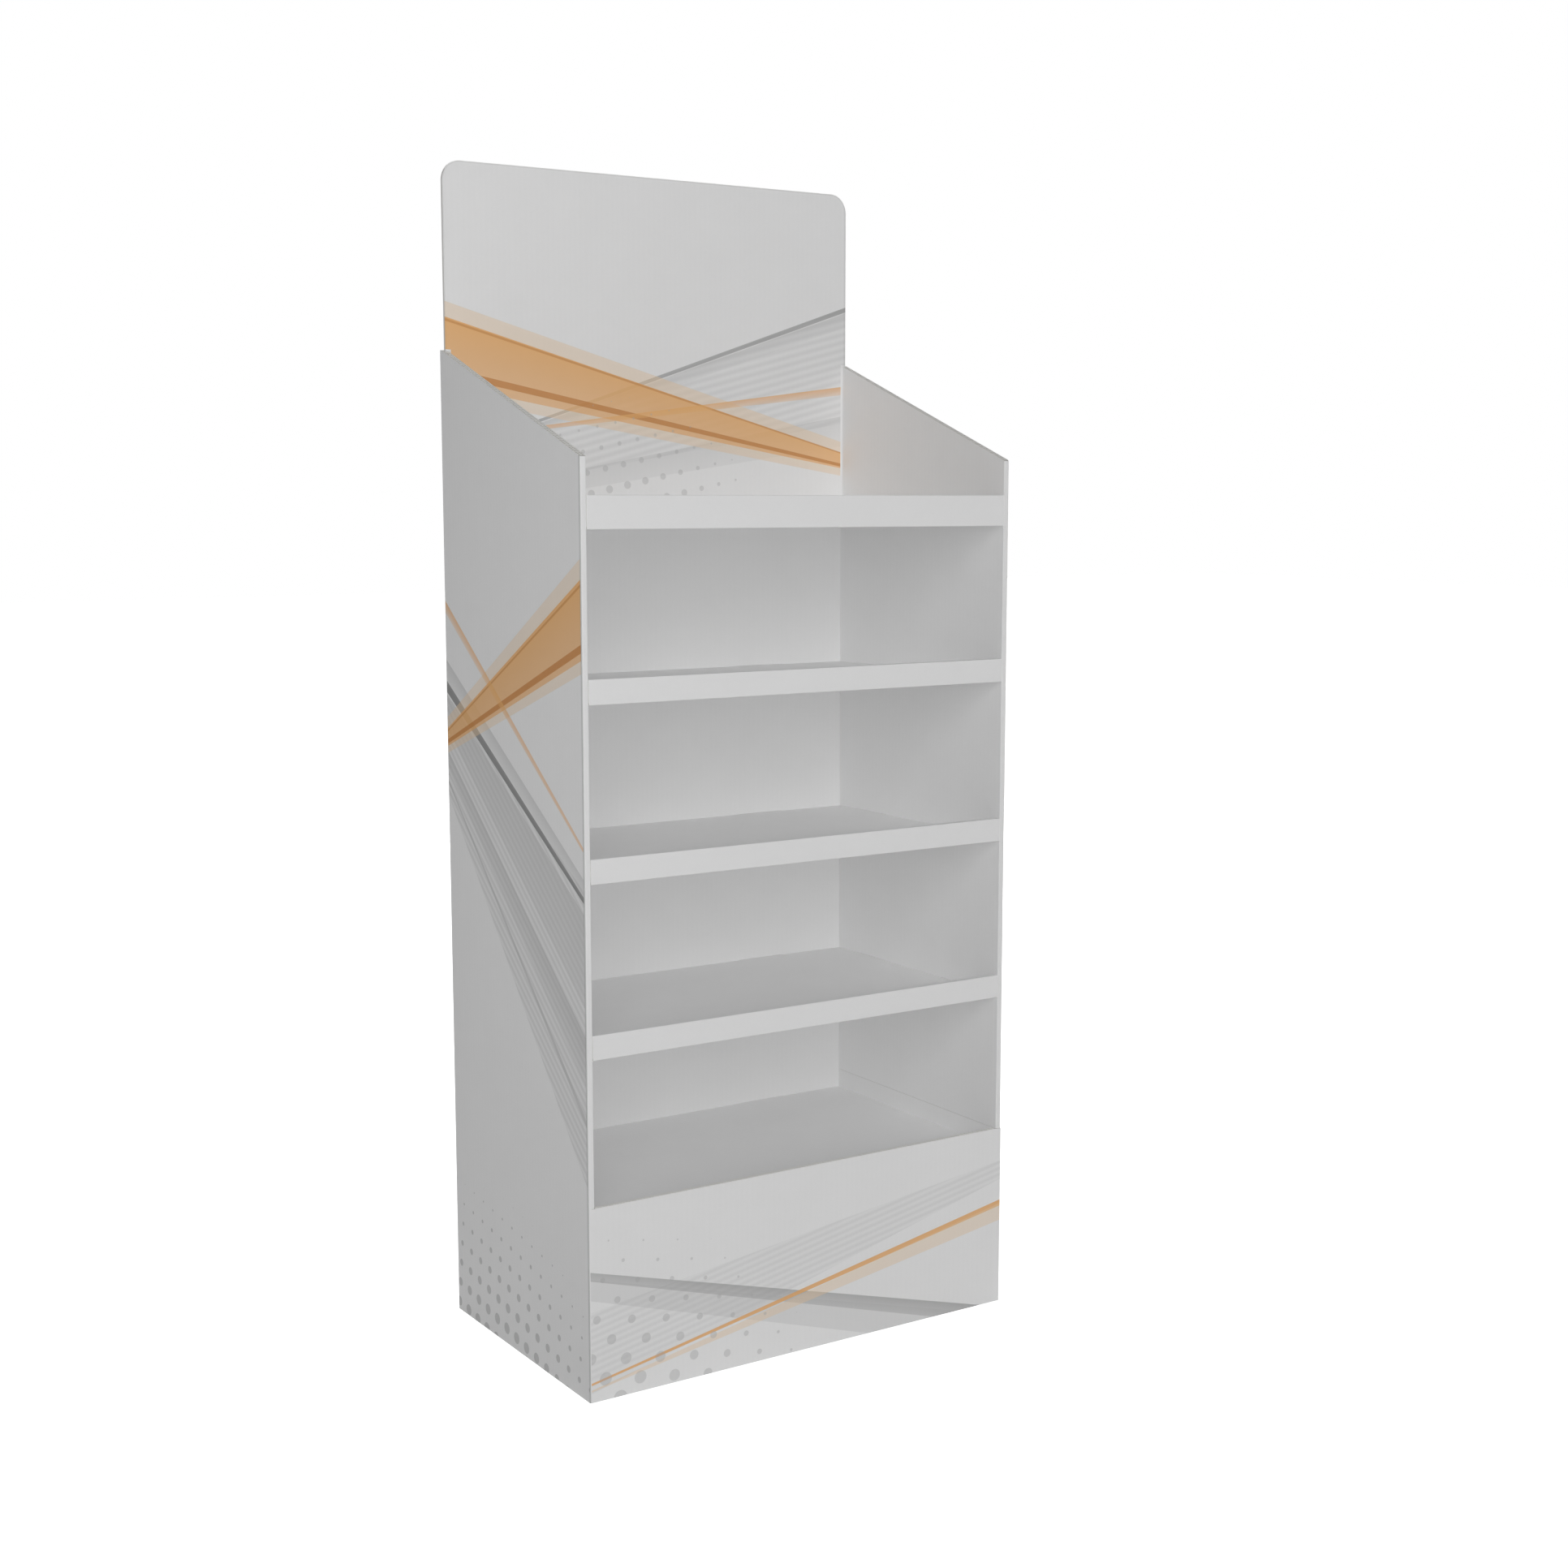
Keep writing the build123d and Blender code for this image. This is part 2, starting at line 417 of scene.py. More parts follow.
SIDE_PRINT = Artwork(
    (
        Beam((452, 742), (262, 96), Ink.MIST, 0.52, lines=9.0),
        Beam((520, 776), (88, 34), Ink.MIST, 0.62, fade=0.5),
        Beam((402, 716), (44, 16), Ink.GREY, 0.52, fade=0.7),
        Beam((330, 688), (6, 3), Ink.GREY, 0.50),
        Beam((588, 806), (6, 12), Ink.DARK_GREY, 0.90),
        Beam((600, 824), (20, 26), Ink.GREY, 0.50, fade=0.8),
        Beam((905, 742), (116, 40), Ink.PALE_ORANGE, 0.45),
        Beam((902, 740), (82, 20), Ink.ORANGE, 0.92, fade=0.25),
        Beam((872, 735), (9, 5), Ink.DEEP_ORANGE, 0.75),
        Beam((942, 748), (3, 2), Ink.DEEP_ORANGE, 0.55),
        Beam((645, 905), (4, 12), Ink.ORANGE, 0.80, fade=0.6),
        DotFade((60, -200), reach=400.0, pitch=27.0, radius=16.0, angle=8.0, ink=Ink.GREY, strength=0.62),
    ),
)
PLINTH_PRINT = Artwork(
    (
        Beam((60, 176), (96, 24), Ink.MIST, 0.30, lines=8.0),
        Beam((152, -20), (10, 22), Ink.DARK_GREY, 0.62, fade=0.5),
        Beam((136, -42), (24, 44), Ink.GREY, 0.25),
        Beam((22, 132), (2.5, 8), Ink.ORANGE, 0.90),
        Beam((14, 120), (2, 22), Ink.PALE_ORANGE, 0.45),
        DotFade((-290, -120), reach=340.0, pitch=33.0, radius=14.0, angle=35.0, ink=Ink.GREY, strength=0.40),
    ),
)
HEADER_PRINT = Artwork(
    (
        Beam((1062, 1214), (44, 150), Ink.MIST, 0.34, lines=10.0),
        Beam((1030, 1128), (18, 40), Ink.GREY, 0.30, fade=0.6),
        Beam((1090, 1290), (3, 6), Ink.DARK_GREY, 0.60),
        Beam((1082, 1276), (10, 18), Ink.GREY, 0.35, fade=0.8),
        Beam((1216, 1088), (112, 44), Ink.PALE_ORANGE, 0.48),
        Beam((1214, 1086), (80, 20), Ink.ORANGE, 0.92, fade=0.3),
        Beam((1190, 1080), (9, 4), Ink.DEEP_ORANGE, 0.70),
        Beam((1252, 1096), (3, 2), Ink.DEEP_ORANGE, 0.50),
        Beam((1108, 1182), (3, 11), Ink.ORANGE, 0.80, fade=0.6),
        DotFade((-40, 940), reach=240.0, pitch=27.0, radius=9.5, angle=12.0, ink=Ink.GREY, strength=0.38),
    ),
)


@dataclass(frozen=True)
class Board:
    """Corrugated board: paper faces with a faint washboard, and cut edges that show its flutes, their hollows
    in painted shade.

    washboard, nap and cut_relief are heights of the relief. cloud and fibre are shares of the paper's
    brightness, and so is the faint painted shade of the washboard's ridges. A printed face is less rough by
    ink_gloss.
    """

    paper: Colour = (0.848, 0.848, 0.848)
    cut: Colour = (0.830, 0.825, 0.805)
    # the colour of the flutes' hollows in a cut edge: painted shade in the recesses
    hollow_shade: Colour = (0.640, 0.630, 0.600)
    pitch: float = 7.6
    thickness: float = 3.8
    skin: float = 0.42
    half_wave: float = 0.34
    skin_blur: float = 0.12
    wave_blur: float = 0.16
    cloud: Grain = Grain(55.0, 0.030)
    fibre: Grain = Grain(1.6, 0.030)
    washboard_shade: float = 0.004
    washboard: float = 0.012
    nap: Grain = Grain(0.9, 0.03)
    cut_relief: float = 0.25
    roughness: float = 0.82
    sheen: Grain = Grain(12.0, 0.10, detail=2.0)
    ink_gloss: float = 0.06

    def face_colour(self, sketch: Sketch, phase: Signal) -> Socket:
        """Returns the paper's colour, with its cloudiness, fibres and faint stripes of painted shade over the
        flutes.

        Args:
            sketch: the material in the making.
            phase: the place across the flutes.

        Returns:
            The colour of the paper faces.
        """
        spots = self.cloud.on(sketch) + self.fibre.on(sketch) - (self.cloud.amount + self.fibre.amount) / 2
        # the stripes over the flutes are painted shade of the washboard's ridges
        return sketch.tone(sketch.colour(self.paper), spots + phase.wave(self.pitch) * self.washboard_shade + 1.0)

    def flutes(self, depth: Signal, phase: Signal) -> Signal:
        """Draws a sheet's section: two skins and the wave between them.

        Args:
            depth: the place in the sheet's thickness, from its middle.
            phase: the place across the flutes.

        Returns:
            1 in paper and 0 in the hollows.
        """
        swing = self.thickness / 2 - self.skin
        skins = abs(depth).above(swing, self.skin_blur)
        wave = abs(depth - phase.wave(self.pitch) * swing).below(self.half_wave, self.wave_blur)
        return skins.maximum(wave)

    def finish(
        self,
        sketch: Sketch,
        colour: Socket,
        phase: Signal,
        cut: Signal,
        section: Signal,
        printed: Signal | float = 0.0,
    ) -> bpy.types.Material:
        """Shows the section on the cut edges, with painted shade in its hollows, and adds the board's relief
        and sheen.

        Args:
            sketch: the material in the making.
            colour: the colour of the sheet's faces.
            phase: the place across the flutes.
            cut: 1 on the cut edges and 0 elsewhere.
            section: 1 in the section's paper and 0 in its hollows.
            printed: 1 on the printed face and 0 elsewhere.

        Returns:
            The finished material.
        """
        # the cut edge's paper, with painted shade in the flutes' hollows
        section_and_shade = sketch.mix(section, sketch.colour(self.hollow_shade), self.cut)
        faces = phase.wave(self.pitch) * self.washboard + self.nap.on(sketch)
        roughness = self.sheen.on(sketch) + (self.roughness - self.sheen.amount / 2)
        return sketch.finish(
            sketch.mix(cut, colour, section_and_shade),
            roughness - printed * self.ink_gloss,
            faces + section * cut * self.cut_relief,
        )


WHITE_BOARD = Board()
HEADER_BOARD = Board(cut=(0.930, 0.928, 0.915), hollow_shade=(0.780, 0.772, 0.750))
SHELF_BOARD = Board(cut_relief=0.2)
BROWN_BOARD = Board(
    paper=(0.360, 0.225, 0.125),
    cut=(0.300, 0.185, 0.100),
    washboard=0.02,
    nap=Grain(0.9, 0.04),
    roughness=0.87,
)


@dataclass(frozen=True)
class StudioLight:
    """One soft box: its bearing in degrees, its distance and size in metres, and its power in watts."""

    name: str
    azimuth: float
    elevation: float
    distance: float
    size: float
    power: float
    casts_shadow: bool = True

    def build(self, target: Vector) -> None:
        """Adds the light, turned to the point that it faces."""
        around, up = math.radians(self.azimuth), math.radians(self.elevation)
        way = Vector((math.sin(around) * math.cos(up), -math.cos(around) * math.cos(up), math.sin(up)))
        data = bpy.data.lights.new(self.name, "AREA")
        data.shape = "SQUARE"
        data.size = self.size
        data.energy = self.power
        data.cycles.cast_shadow = data.use_shadow = self.casts_shadow
        light = bpy.data.objects.new(self.name, data)
        light.location = target + way * self.distance
        light.rotation_euler = way.to_track_quat("Z", "Y").to_euler()
        light.visible_camera = False
        bpy.context.collection.objects.link(light)


@dataclass
class Studio:
    """A white floor, an even white surround, soft boxes, and the camera of the photograph.

    floor_size, camera_place and target are in metres, and the camera's angles in radians. The floor's glow
    rises to its full strength around glow_radius.
    """

    floor_size: float = 40.0
    floor_white: float = 0.9
    floor_roughness: float = 0.9
    floor_shine: float = 0.1
    floor_glow: float = 0.80
    glow_radius: float = 900.0
    surround: float = 0.131
    camera_place: tuple[float, float, float] = (-1.42480, -2.31054, 1.03652)
    camera_turn: float = -0.57848
    camera_dip: float = 0.13054
    lens: float = 50.0
    sensor: float = 36.0
    target: tuple[float, float, float] = (0.0, 0.0, 0.75)
    lights: tuple[StudioLight, ...] = (
        StudioLight("key_box", -28.0, 20.0, 6.0, 3.2, 94.0),
        StudioLight("side_box", -72.0, 8.0, 1.9, 1.0, 4.6, casts_shadow=False),
        StudioLight("far_fill", 25.0, 15.0, 10.0, 5.33, 168.0, casts_shadow=False),
        StudioLight("high_fill", -30.0, 28.0, 10.0, 5.33, 76.0, casts_shadow=False),
        StudioLight("rear_box", 135.0, 18.0, 4.5, 2.4, 70.0),
    )

    def build_floor(self) -> None:
        """Lays the floor, white and lit from inside so that it runs into the surround.

        Close to the stand it glows a little less, so that a trace of contact shadow is left there.
        """
        bpy.ops.object.select_all(action="DESELECT")
        bpy.ops.mesh.primitive_plane_add(size=self.floor_size, location=(0, 0, 0))
        floor = bpy.context.active_object
        floor.name = "studio_floor"
        sketch = Sketch("floor_white")
        far = sketch.x.diagonal(sketch.y).above(self.glow_radius, self.glow_radius)
        glow = far * (1.0 - self.floor_glow) + self.floor_glow
        seen = Signal(sketch, sketch.nodes.new("ShaderNodeLightPath").outputs["Is Camera Ray"])
        inputs = sketch.shader.inputs
        inputs["Base Color"].default_value = (*3 * [self.floor_white], 1.0)
        inputs["Roughness"].default_value = self.floor_roughness
        inputs["Specular IOR Level"].default_value = self.floor_shine
        inputs["Emission Color"].default_value = WHITE
        sketch.feed(inputs["Emission Strength"], glow * seen)
        floor.data.materials.append(sketch.material)

    def build_surround(self) -> None:
        """Sets the surround: white to the eye, and a softer white as light."""
        world = bpy.data.worlds.new("white_surround")
        bpy.context.scene.world = world
        world.use_nodes = True
        nodes, links = world.node_tree.nodes, world.node_tree.links
        nodes.clear()
        mix = nodes.new("ShaderNodeMixShader")
        for strength, socket in ((self.surround, mix.inputs[1]), (1.0, mix.inputs[2])):
            background = nodes.new("ShaderNodeBackground")
            background.inputs["Color"].default_value = WHITE
            background.inputs["Strength"].default_value = strength
            links.new(background.outputs[0], socket)
        links.new(nodes.new("ShaderNodeLightPath").outputs["Is Camera Ray"], mix.inputs[0])
        links.new(mix.outputs[0], nodes.new("ShaderNodeOutputWorld").inputs["Surface"])

    def build_camera(self) -> None:
        """Places the camera where the photograph was taken from."""
        data = bpy.data.cameras.new("camera")
        data.lens = self.lens
        data.sensor_width = self.sensor
        camera = bpy.data.objects.new("camera", data)
        camera.location = self.camera_place
        camera.rotation_euler = (math.pi / 2 - self.camera_dip, 0.0, self.camera_turn)
        bpy.context.collection.objects.link(camera)
        bpy.context.scene.camera = camera
        bpy.context.scene.view_settings.view_transform = "Standard"

    def build(self) -> None:
        """Builds the whole studio."""
        self.build_floor()
        self.build_surround()
        self.build_camera()
        for light in self.lights:
            light.build(Vector(self.target))
            LOG.info("light %s", light.name)


@dataclass
class Body:
    """The folded body: its outside is printed, its inside and back are bare white board.

    Its upright folds carry painted shade: the board is darker by the shade's depth in their outermost width,
    where it faces sideways by more than the shade's turn. It is cut where it faces up or down by more than
    cut_turn.
    """

    nodes: dict[str, bpy.types.Object]
    board: Board = WHITE_BOARD
    fold_shade_width: float = 2.5
    fold_shade_blur: float = 0.3
    fold_shade_depth: float = 0.35
    fold_shade_turn: float = 0.6
    turn_blur: float = 0.25
    cut_turn: float = 0.3

    def dress(self) -> None:
        """Gives the body its printed board."""
        sketch = Sketch("printed_white_board")
        board = self.board
        half_width, half_depth, _ = Extent.of("body_wrap").high
        plinth_top = Extent.of("base_tray").high.z
        wide, deep = abs(sketch.x), abs(sketch.y)
        ply = board.thickness + PLY_GAP
        on_side = wide.above(half_width - board.thickness - ply - ON_FACE)
        on_liner = wide.below(half_width - board.thickness - PLY_GAP / 2)
        side_depth = wide - (half_width - board.thickness / 2) + on_liner * ply
        depth = on_side.choose(side_depth, deep - (half_depth - board.thickness / 2))
        phase = on_side.choose(sketch.y, sketch.x)
        outside = wide.above(half_width - ON_FACE, FACE_BLUR) * abs(sketch.nx).above(FACING)
        front = sketch.y.below(-half_depth + ON_FACE, FACE_BLUR) * sketch.ny.below(-FACING)
        plinth_front = front * sketch.z.below(plinth_top + PLY_GAP / 2)
        colour = board.face_colour(sketch, phase)
        colour = SIDE_PRINT.lay(sketch, colour, Face(sketch.y, sketch.z, half_depth), outside)
        colour = PLINTH_PRINT.lay(sketch, colour, Face(sketch.x, sketch.z, half_width), plinth_front)
        # Painted shade along the upright folds: darker on the half of the rounded fold that faces sideways
        width, blur = self.fold_shade_width, self.fold_shade_blur
        at_corner = wide.above(half_width - width, blur) * deep.above(half_depth - width, blur)
        painted_fold_shade = at_corner * abs(sketch.nx).above(self.fold_shade_turn, self.turn_blur)
        colour = sketch.tone(colour, 1.0 - painted_fold_shade * self.fold_shade_depth)
        cut = abs(sketch.nz).above(self.cut_turn)
        material = board.finish(sketch, colour, phase, cut, board.flutes(depth, phase), printed=outside)
        self.nodes["body_wrap"].data.materials[0] = material


@dataclass
class Header:
    """The header board, printed in front, with rounded top corners.

    The margin that slides behind the liners stays bare. A faint painted shade follows the outline, where the
    rounded edge turns away from the light, each part of it with its width and its share of darkness, and is
    stronger at the right end.
    """

    nodes: dict[str, bpy.types.Object]
    board: Board = HEADER_BOARD
    corner: float = 24.0
    bare_margin: float = 7.4
    bare_above_body: float = 1.0
    rim_shade: Point2 = (1.5, 0.09)
    right_rim_shade: Point2 = (2.8, 0.08)
    rim_shade_blur: float = 0.8

    def dress(self) -> None:
        """Gives the header its printed board."""
        sketch = Sketch("printed_header_board")
        board = self.board
        panel = Extent.of("header_panel")
        half_width = panel.high.x
        bare_top = Extent.of("body_wrap").high.z + self.bare_above_body
        front = sketch.y.below(panel.low.y + ON_FACE / 2, FACE_BLUR) * sketch.ny.below(-FACING)
        bare = abs(sketch.x).above(half_width - self.bare_margin) * sketch.z.below(bare_top)
        colour = board.face_colour(sketch, sketch.x)
        face = Face(sketch.x, sketch.z, half_width)
        colour = HEADER_PRINT.lay(sketch, colour, face, front * (1.0 - bare))
        inset = self.inset(sketch, half_width, panel.high.z)
        (width, dark), (right_width, right_dark) = self.rim_shade, self.right_rim_shade
        # Painted shade along the outline, wider and stronger at the right end
        at_right = (sketch.x - half_width).above(-right_width, self.rim_shade_blur) * right_dark
        rim_shade = inset.below(width, self.rim_shade_blur) * dark + at_right * inset.below(right_width, self.rim_shade_blur)
        colour = sketch.tone(colour, 1.0 - rim_shade * front)
        cut = abs(sketch.ny).below(TURNED)
        section = board.flutes(sketch.y - panel.middle.y, sketch.x)
        material = board.finish(sketch, colour, sketch.x, cut, section, printed=front)
        self.nodes["header_panel"].data.materials[0] = material

    def inset(self, sketch: Sketch, half_width: float, top: float) -> Signal:
        """Works out how far inside the header's rounded outline each place is.

        Args:
            sketch: the material in the making.
            half_width: half the header's width.
            top: the height of its upper edge.

        Returns:
            The distance.
        """
        over_x = abs(sketch.x) - (half_width - self.corner)
        over_z = sketch.z - (top - self.corner)
        around = over_x.maximum(0.0).diagonal(over_z.maximum(0.0))
        return self.corner - around - over_x.maximum(over_z).minimum(0.0)


@dataclass
class Shelves:
    """The four lipped shelves and the lowest deck: bare white board with flutes from side to side.

    Each has the rise of its lip above its deck. Beyond half_slots from the middle, a face that looks sideways
    is the sheet's end and not the side of a slot. A tab's end lies within tab_reach of the back's outside,
    and the cut top of the tray's flanges within top_reach of its highest point.
    """

    nodes: dict[str, bpy.types.Object]
    board: Board = SHELF_BOARD
    half_slots: float = 262.0
    tab_reach: float = 0.3
    tab_blur: float = 0.1
    top_reach: float = 0.2
    lips: tuple[tuple[str, float], ...] = (
        ("base_tray", 25.2),
        ("shelf_lower", 25.2),
        ("shelf_middle", 25.2),
        ("shelf_upper", 25.2),
        ("shelf_top", 34.0),
    )

    def dress(self) -> None:
        """Gives every shelf the bare white board, with the flutes showing where its sheet is cut."""
        for name, rise in self.lips:
            deck = Extent.of(name).high.z - rise
            self.nodes[name].data.materials[0] = self.white_board("white_board_" + name, deck)

    def white_board(self, name: str, deck: float) -> bpy.types.Material:
        """Makes the board of one shelf.

        Args:
            name: the material's name.
            deck: the height of the deck's upper face.

        Returns:
            The material.
        """
        sketch = Sketch(name)
        board = self.board
        back = Extent.of("body_wrap").high.y
        flange_top = Extent.of("base_tray").high.z
        tab_end = sketch.y.above(back - self.tab_reach, self.tab_blur) * sketch.ny.above(FACING)
        side_end = (sketch.x * sketch.nx).above(self.half_slots)
        at_top = sketch.z.above(flange_top - self.top_reach) * sketch.z.below(flange_top + self.top_reach)
        colour = board.face_colour(sketch, sketch.y)
        colour = sketch.mix(sketch.nz.above(TURNED) * at_top, colour, board.cut)
        section = board.flutes(sketch.z - (deck - board.thickness / 2), tab_end.choose(sketch.x, sketch.y))
        return board.finish(sketch, colour, sketch.y, tab_end.maximum(side_end), section)


@dataclass
class BaseGrid:
    """The half-lapped ribs in the plinth: plain brown board, with the flutes upright."""

    nodes: dict[str, bpy.types.Object]
    board: Board = BROWN_BOARD
    long_ribs: tuple[str, ...] = ("base_rib_front", "base_rib_rear")
    cross_ribs: tuple[str, ...] = ("base_rib_left", "base_rib_middle", "base_rib_right")

    def dress(self) -> None:
        """Gives the ribs brown board: one material for each direction, which repeats at their spacing."""
        board = self.board
        for names, along, across in ((self.long_ribs, "x", "y"), (self.cross_ribs, "y", "x")):
            sketch = Sketch("brown_board_" + along)
            places = {"x": sketch.x, "y": sketch.y}
            normals = {"x": sketch.nx, "y": sketch.ny}
            spacing = getattr(Extent.of(names[-1]).middle, across)
            side, phase = abs(places[across]), places[along]
            depth = side - side.above(spacing / 2) * spacing
            colour = board.face_colour(sketch, phase)
            cut = abs(normals[across]).below(TURNED)
            material = board.finish(sketch, colour, phase, cut, board.flutes(depth, phase))
            for name in names:
                self.nodes[name].data.materials[0] = material


class Run(Enum):
    """The way along which a cut edge runs: the axis, and its turn from the first axis in degrees."""

    ACROSS = (0, 0.0)
    FRONT_TO_BACK = (1, 90.0)


@dataclass(frozen=True)
class RawEdge:
    """One cut edge in view: its board, its two ends and the middle of its sheet.

    Where the print's pattern measures the sheet's depth the other way round, the wave is flipped.
    """

    name: str
    node: str
    slot: str
    run: Run
    first: float
    last: float
    middle: float
    flipped: bool = False


@dataclass
class RawEdges:
    """The section of the board where it is cut in view: two skins and the wave, standing a little proud.

    The lines of one long section are modelled once. Each edge takes a copy of them, laid down on its own
    board, so that they follow the slopes and the header's rounded corners. They start above the whole stand,
    keep clear of the folds at an edge's ends, and are rooted a little below the board's surface.

    steps are those in a period of the wave, near is how close a vertex lies to the place that picks it, and
    merge how close two ends lie that become one. fit is the header's play behind the liners. straight is the
    bend in degrees below which a line loses its vertices, and smooth the bend up to which its shading is
    round. fibre_tone, fibre_roughness and fibre_relief are how much the cut paper's grain shows in each.
    """

    nodes: dict[str, bpy.types.Object]
    board: Board = WHITE_BOARD
    header_board: Board = HEADER_BOARD
    grain: Grain = Grain(0.7, 1.0)
    steps: int = 12
    near: float = 0.1
    merge: float = 0.01
    paper: float = 0.38
    wave_gap: float = 0.12
    start_height: float = 1500.0
    fold: float = 2.6
    header_end: float = 3.1
    clearance: float = 0.2
    fit: float = 0.3
    root: float = 0.1
    proud: float = 0.4
    straight: float = 0.3
    smooth: float = 35.0
    fibre_tone: float = 0.10
    fibre_roughness: float = 0.08
    fibre_relief: float = 0.04

    def build(self) -> None:
        """Models the lines, lays them on every edge and gives each its paper."""
        lines = self.section_lines()
        papers = {
            "printed_board": self.cut_paper("cut_paper_body", self.board),
            "header_board": self.cut_paper("cut_paper_header", self.header_board),
        }
        for edge in self.edges():
            piece = self.lay(lines, edge)
            self.raise_walls(piece)
            piece.data.materials.append(papers[edge.slot])
            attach(piece, "root")
            LOG.info("piece %s", piece.name)
        bpy.data.objects.remove(lines)

    def edges(self) -> list[RawEdge]:
        """Works out every cut edge in view from the boxes of the body and the header.

        Returns:
            The edges of the sides and their liners, the back, the plinth front and the header.
        """
        body, panel = Extent.of("body_wrap").high, Extent.of("header_panel")
        sheet = self.board.thickness
        ply = sheet + PLY_GAP
        front = self.fold - body.y
        on_body, on_header = ("body_wrap", "printed_board"), ("header_panel", "header_board")
        edges = []
        for ply_name, inset, rear in (
            ("side", sheet / 2, body.y - sheet - self.clearance),
            ("liner", sheet / 2 + ply, panel.low.y - self.fit - self.clearance),
        ):
            for side, sign in (("left", -1), ("right", 1)):
                name, middle = f"flutes_{ply_name}_{side}", sign * (body.x - inset)
                edges.append(RawEdge(name, *on_body, Run.FRONT_TO_BACK, front, rear, middle, sign > 0))
        for name, board, reach, middle in (
            ("flutes_back", on_body, body.x - self.fold, body.y - sheet / 2),
            ("flutes_plinth", on_body, body.x - sheet - ply - PLY_GAP, sheet / 2 - body.y),
            ("flutes_header", on_header, panel.high.x - self.header_end, panel.middle.y),
        ):
            edges.append(RawEdge(name, *board, Run.ACROSS, -reach, reach, middle, middle < 0))
        return edges

    def section_lines(self) -> bpy.types.Object:
        """Models the section as three lines: one period of the wave between its skins, then repeated.

        Returns:
            The object with the lines, which run along X about the origin.
        """
        pitch, thickness, skin = self.board.pitch, self.board.thickness, self.board.skin
        swing = thickness / 2 - skin - self.wave_gap
        body = Extent.of("body_wrap")
        periods = math.ceil((body.high.x - body.low.x) / pitch)
        bpy.ops.object.select_all(action="DESELECT")
        steps, origin = self.steps, (0, 0, 0)
        bpy.ops.mesh.primitive_grid_add(x_subdivisions=steps, y_subdivisions=2, size=1.0, location=origin)
        lines = bpy.context.active_object
        lines.scale = (pitch * MM, (thickness - skin) * MM, 1.0)
        bpy.ops.object.transform_apply(scale=True)
        bpy.ops.object.mode_set(mode="EDIT")
        bpy.ops.mesh.select_mode(type="VERT")
        for step in range(steps + 1):
            place = (step / steps - 0.5) * pitch
            self.pick(lines, lambda at: max(abs(at.x - place * MM), abs(at.y)) < self.near * MM)
            lift = swing * math.sin(2 * math.pi * place / pitch)
            bpy.ops.transform.translate(value=(0, lift * MM, 0))
        self.drop_rungs(lines)
        bpy.ops.object.mode_set(mode="OBJECT")
        repeat = lines.modifiers.new("periods", "ARRAY")
        repeat.count = periods
        repeat.use_relative_offset = False
        repeat.use_constant_offset = True
        repeat.constant_offset_displace = (pitch * MM, 0, 0)
        repeat.use_merge_vertices = True
        repeat.merge_threshold = self.merge * MM
        bpy.ops.object.modifier_apply(modifier=repeat.name)
        lines.location.x = -(periods // 2) * pitch * MM
        bpy.ops.object.transform_apply(location=True)
        return lines

    def pick(self, piece: bpy.types.Object, chosen: Callable[[Vector], bool]) -> None:
        """Selects, in edit mode, the vertices whose place is chosen."""
        bpy.ops.mesh.select_all(action="DESELECT")
        mesh = bmesh.from_edit_mesh(piece.data)
        for vertex in mesh.verts:
            vertex.select_set(chosen(vertex.co))
        mesh.select_flush(True)
        bmesh.update_edit_mesh(piece.data)

    def drop_rungs(self, piece: bpy.types.Object) -> None:
        """Deletes the edges between one line and the next, and the faces with them."""
        bpy.ops.mesh.select_mode(type="EDGE")
        bpy.ops.mesh.select_all(action="DESELECT")
        mesh = bmesh.from_edit_mesh(piece.data)
        for edge in mesh.edges:
            edge.select_set(abs(edge.verts[0].co.x - edge.verts[1].co.x) < self.near * MM)
        bmesh.update_edit_mesh(piece.data)
        bpy.ops.mesh.delete(type="EDGE")
        bpy.ops.mesh.select_mode(type="VERT")

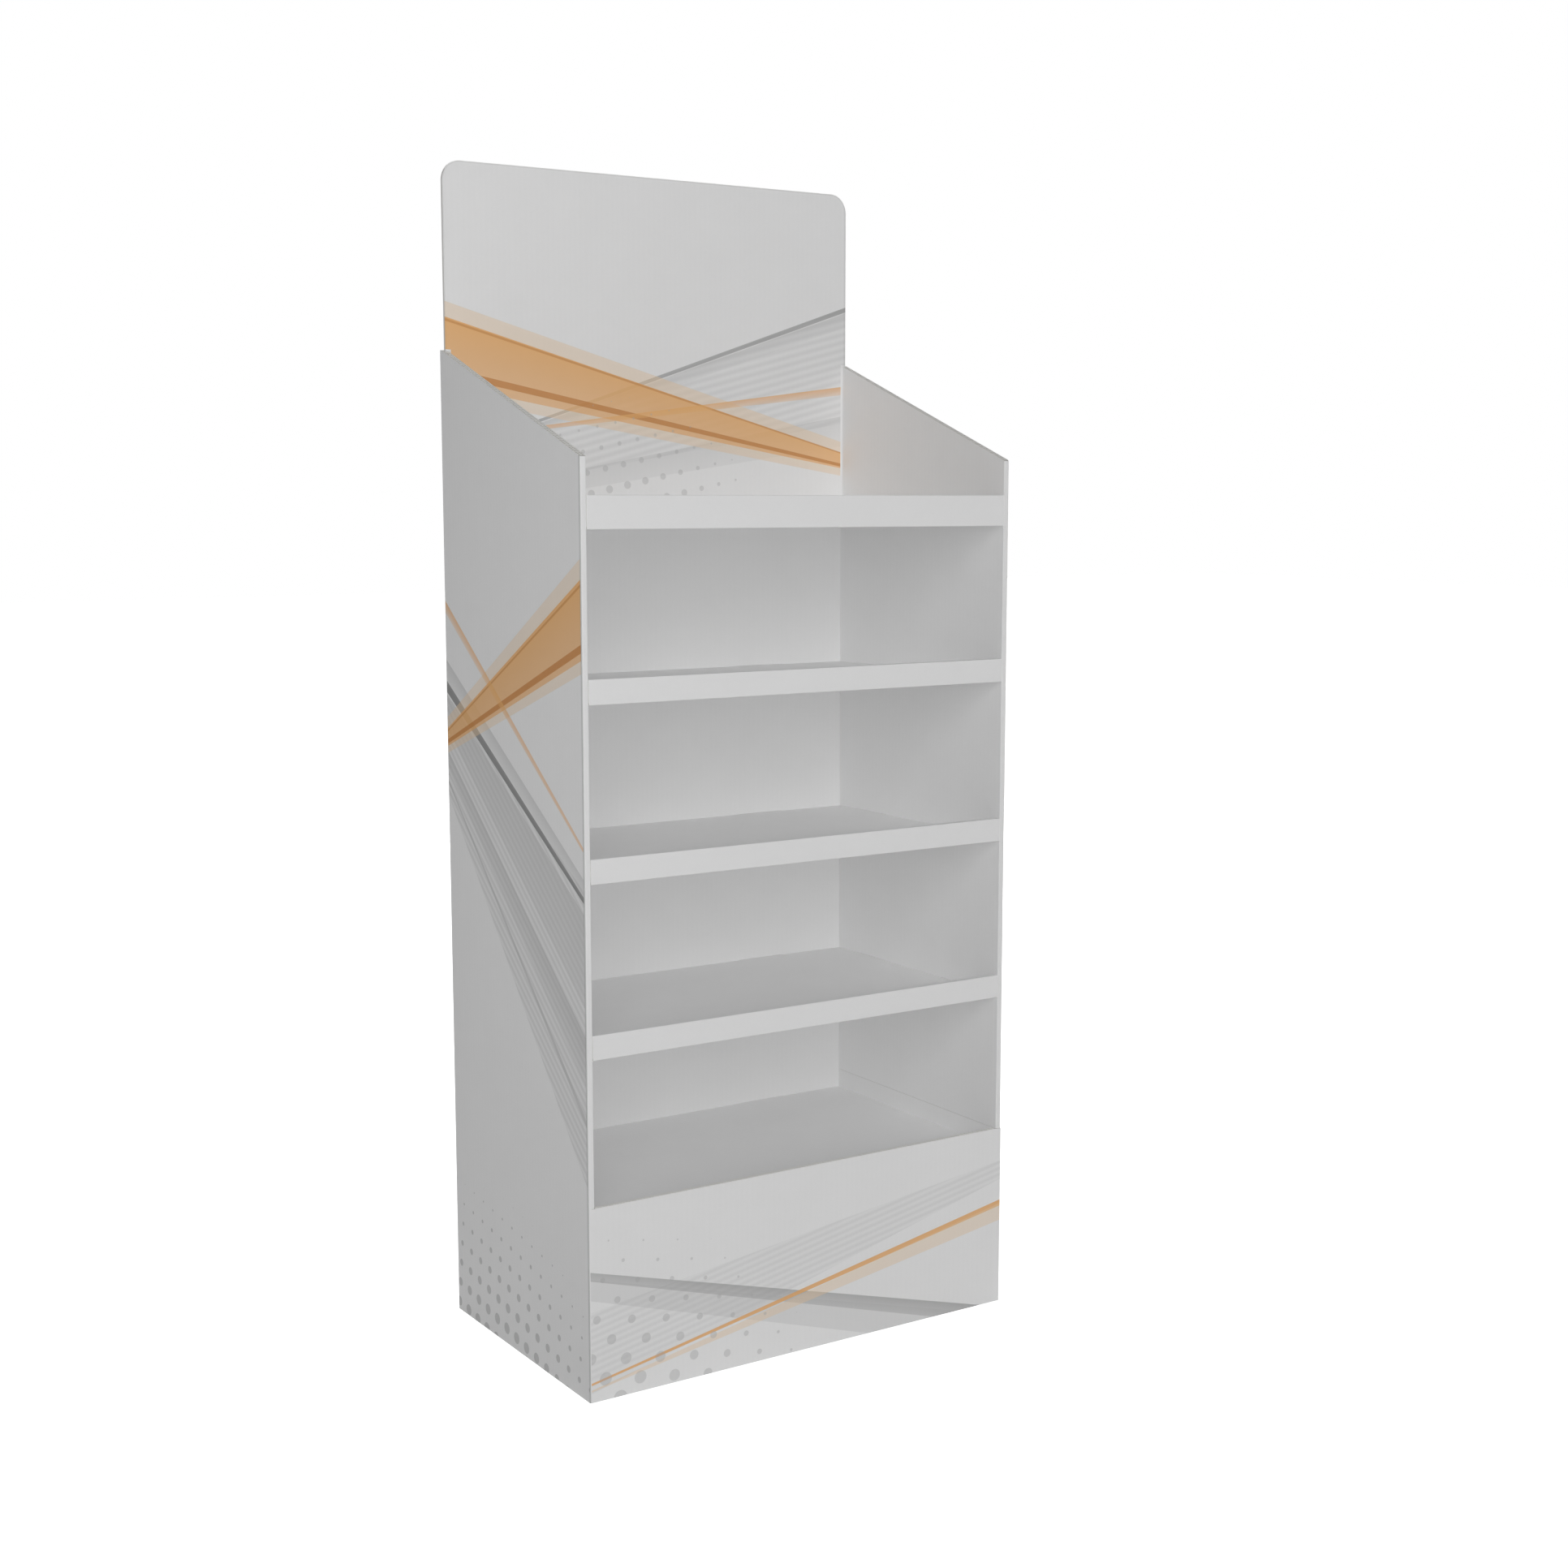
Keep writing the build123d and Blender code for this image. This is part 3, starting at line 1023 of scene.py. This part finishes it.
    def lay(self, lines: bpy.types.Object, edge: RawEdge) -> bpy.types.Object:
        """Copies the lines, cuts them to an edge's length and drops them on its board.

        Args:
            lines: the lines of the section.
            edge: the edge that takes them.

        Returns:
            The copy, lying on the edge.
        """
        bpy.ops.object.select_all(action="DESELECT")
        lines.select_set(True)
        bpy.context.view_layer.objects.active = lines
        bpy.ops.object.duplicate(linked=False)
        piece = bpy.context.active_object
        piece.name = edge.name
        axis, turn = edge.run.value
        piece.rotation_euler.z = math.radians(turn)
        piece.location[axis] = self.board.pitch / 2 * MM * edge.flipped
        piece.location[1 - axis] = edge.middle * MM
        piece.location.z = self.start_height * MM
        bpy.ops.object.transform_apply(location=True, rotation=True)
        bpy.ops.object.mode_set(mode="EDIT")
        self.pick(piece, lambda at: not edge.first * MM < at[axis] < edge.last * MM)
        bpy.ops.mesh.delete(type="VERT")
        bpy.ops.object.mode_set(mode="OBJECT")
        drop = piece.modifiers.new("drop", "SHRINKWRAP")
        drop.wrap_method = "PROJECT"
        drop.use_project_z = True
        drop.use_positive_direction = False
        drop.use_negative_direction = True
        drop.target = self.nodes[edge.node]
        bpy.ops.object.modifier_apply(modifier=drop.name)
        return piece

    def raise_walls(self, piece: bpy.types.Object) -> None:
        """Raises the lines to low walls and gives them the paper's thickness."""
        bpy.ops.object.mode_set(mode="EDIT")
        bpy.ops.mesh.select_all(action="SELECT")
        bpy.ops.mesh.dissolve_limited(angle_limit=math.radians(self.straight))
        bpy.ops.mesh.select_all(action="SELECT")
        bpy.ops.transform.translate(value=(0, 0, -self.root * MM))
        rise = (0, 0, (self.root + self.proud) * MM)
        bpy.ops.mesh.extrude_region_move(TRANSFORM_OT_translate={"value": rise})
        bpy.ops.object.mode_set(mode="OBJECT")
        wall = piece.modifiers.new("paper", "SOLIDIFY")
        wall.thickness = self.paper * MM
        wall.offset = 0.0
        wall.use_even_offset = True
        bpy.ops.object.modifier_apply(modifier=wall.name)
        bpy.ops.object.mode_set(mode="EDIT")
        bpy.ops.mesh.select_all(action="SELECT")
        bpy.ops.mesh.normals_make_consistent(inside=False)
        bpy.ops.object.mode_set(mode="OBJECT")
        bpy.ops.object.shade_smooth_by_angle(angle=math.radians(self.smooth))

    def cut_paper(self, name: str, board: Board) -> bpy.types.Material:
        """Makes the paper of the cut edges, matt and with short fibres, in the colour of a board's cut."""
        sketch = Sketch(name)
        grain = self.grain.on(sketch)
        toned = sketch.tone(sketch.colour(board.cut), grain * self.fibre_tone + (1 - self.fibre_tone / 2))
        roughness = grain * self.fibre_roughness + board.roughness
        return sketch.finish(toned, roughness, grain * self.fibre_relief)


def main() -> None:
    """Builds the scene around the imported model."""
    logging.basicConfig(level=logging.INFO, format="%(name)s: %(message)s")
    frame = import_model()
    nodes = frame["nodes"]
    Studio().build()
    for part in (Body(nodes), Header(nodes), Shelves(nodes), BaseGrid(nodes)):
        part.dress()
        LOG.info("dressed %s", type(part).__name__)
    RawEdges(nodes).build()


if __name__ == "__main__":
    main()
